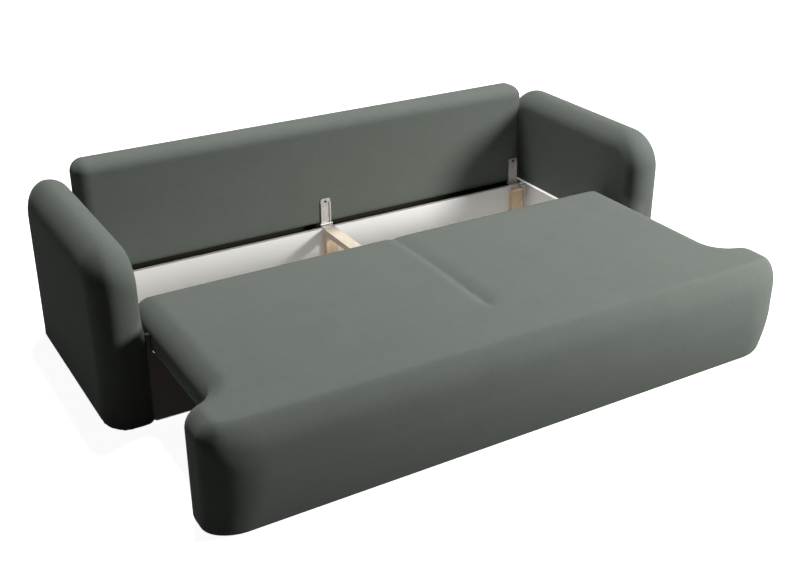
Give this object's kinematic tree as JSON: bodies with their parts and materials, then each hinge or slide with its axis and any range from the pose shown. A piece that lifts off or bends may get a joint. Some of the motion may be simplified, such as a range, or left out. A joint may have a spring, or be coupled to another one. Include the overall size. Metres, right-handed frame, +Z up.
{
  "type": "sleeper sofa",
  "caption": "Sofa whose seat rolls out on wheels and whose backrest folds forward to make a bed, with a storage box behind the seat.",
  "frame": {"origin": "on the floor, at the middle of the whole sofa with its seat rolled out", "axes": "+X to the right as seen from the front, +Y to the rear, +Z up"},
  "size_m": [2.3622, 1.65, 0.686],
  "materials": {
    "fabric": "matte short-pile upholstery",
    "laminate": "satin white laminate on chipboard",
    "dark_board": "matte dark brown laminate",
    "pine": "planed, unfinished",
    "chipboard": "raw",
    "steel": "zinc plated",
    "dark_steel": "black zinc plated",
    "nylon": "satin",
    "black_plastic": "satin"
  },
  "bodies": {
    "base": {"arm_cover_left": "fabric", "arm_frame_left": "chipboard", "glide_left_front": "black_plastic", "glide_left_rear": "black_plastic", "arm_cover_right": "fabric", "arm_frame_right": "chipboard", "glide_right_front": "black_plastic", "glide_right_rear": "black_plastic", "arm_bolt_left_1": "steel", "arm_bolt_right_1": "steel", "arm_bolt_left_2": "steel", "arm_bolt_right_2": "steel", "side_panel_left": "laminate", "side_panel_right": "laminate", "front_board": "dark_board", "rear_panel": "laminate", "box_floor": "laminate", "rear_rail": "dark_board", "rear_cover": "fabric", "centre_beam": "pine", "centre_post_front": "pine", "centre_post_rear": "pine", "corner_post_left": "pine", "corner_post_right": "pine", "hinge_bracket_left": "steel", "hinge_pin_left": "steel", "hinge_bracket_centre": "steel", "hinge_pin_centre": "steel", "hinge_bracket_right": "steel", "hinge_pin_right": "steel", "front_glide_left": "nylon", "front_glide_right": "nylon"},
    "seat": {"seat_cushion": "fabric", "seat_rail_left": "pine", "seat_rail_right": "pine", "seat_rail_centre": "pine", "seat_rail_rear": "pine", "centre_glide": "nylon", "seat_deck": "chipboard", "bumper_cushion": "fabric", "bumper_front_board": "chipboard", "bumper_bottom_board": "chipboard", "bumper_rear_board": "dark_board", "wheel_fork_1": "steel", "wheel_fork_2": "steel", "wheel_fork_3": "steel", "wheel_fork_4": "steel"},
    "backrest": {"hinge_leaf_left": "steel", "leaf_screw_left": "dark_steel", "hinge_leaf_centre": "steel", "leaf_screw_centre": "dark_steel", "hinge_leaf_right": "steel", "leaf_screw_right": "dark_steel", "backrest_cushion": "fabric", "backrest_board": "chipboard"},
    "wheel_1": {"wheel_1": "black_plastic"},
    "wheel_2": {"wheel_2": "black_plastic"},
    "wheel_3": {"wheel_3": "black_plastic"},
    "wheel_4": {"wheel_4": "black_plastic"}
  },
  "joints": [
    {"name": "seat_slide", "type": "slide", "parent": "base", "child": "seat", "axis": [0, -1, 0], "range_m": [-0.476, 0]},
    {"name": "backrest_fold", "type": "hinge", "parent": "base", "child": "backrest", "pos_m": [0, 0.659, 0.2477], "axis": [1, 0, 0], "range_deg": [0, 90]},
    {"name": "wheel_1_spin", "type": "hinge", "parent": "seat", "child": "wheel_1", "pos_m": [-0.85828, -0.65865, 0.022], "axis": [1, 0, 0], "continuous": true},
    {"name": "wheel_2_spin", "type": "hinge", "parent": "seat", "child": "wheel_2", "pos_m": [-0.2994, -0.65865, 0.022], "axis": [1, 0, 0], "continuous": true},
    {"name": "wheel_3_spin", "type": "hinge", "parent": "seat", "child": "wheel_3", "pos_m": [0.2994, -0.65865, 0.022], "axis": [1, 0, 0], "continuous": true},
    {"name": "wheel_4_spin", "type": "hinge", "parent": "seat", "child": "wheel_4", "pos_m": [0.85828, -0.65865, 0.022], "axis": [1, 0, 0], "continuous": true}
  ]
}
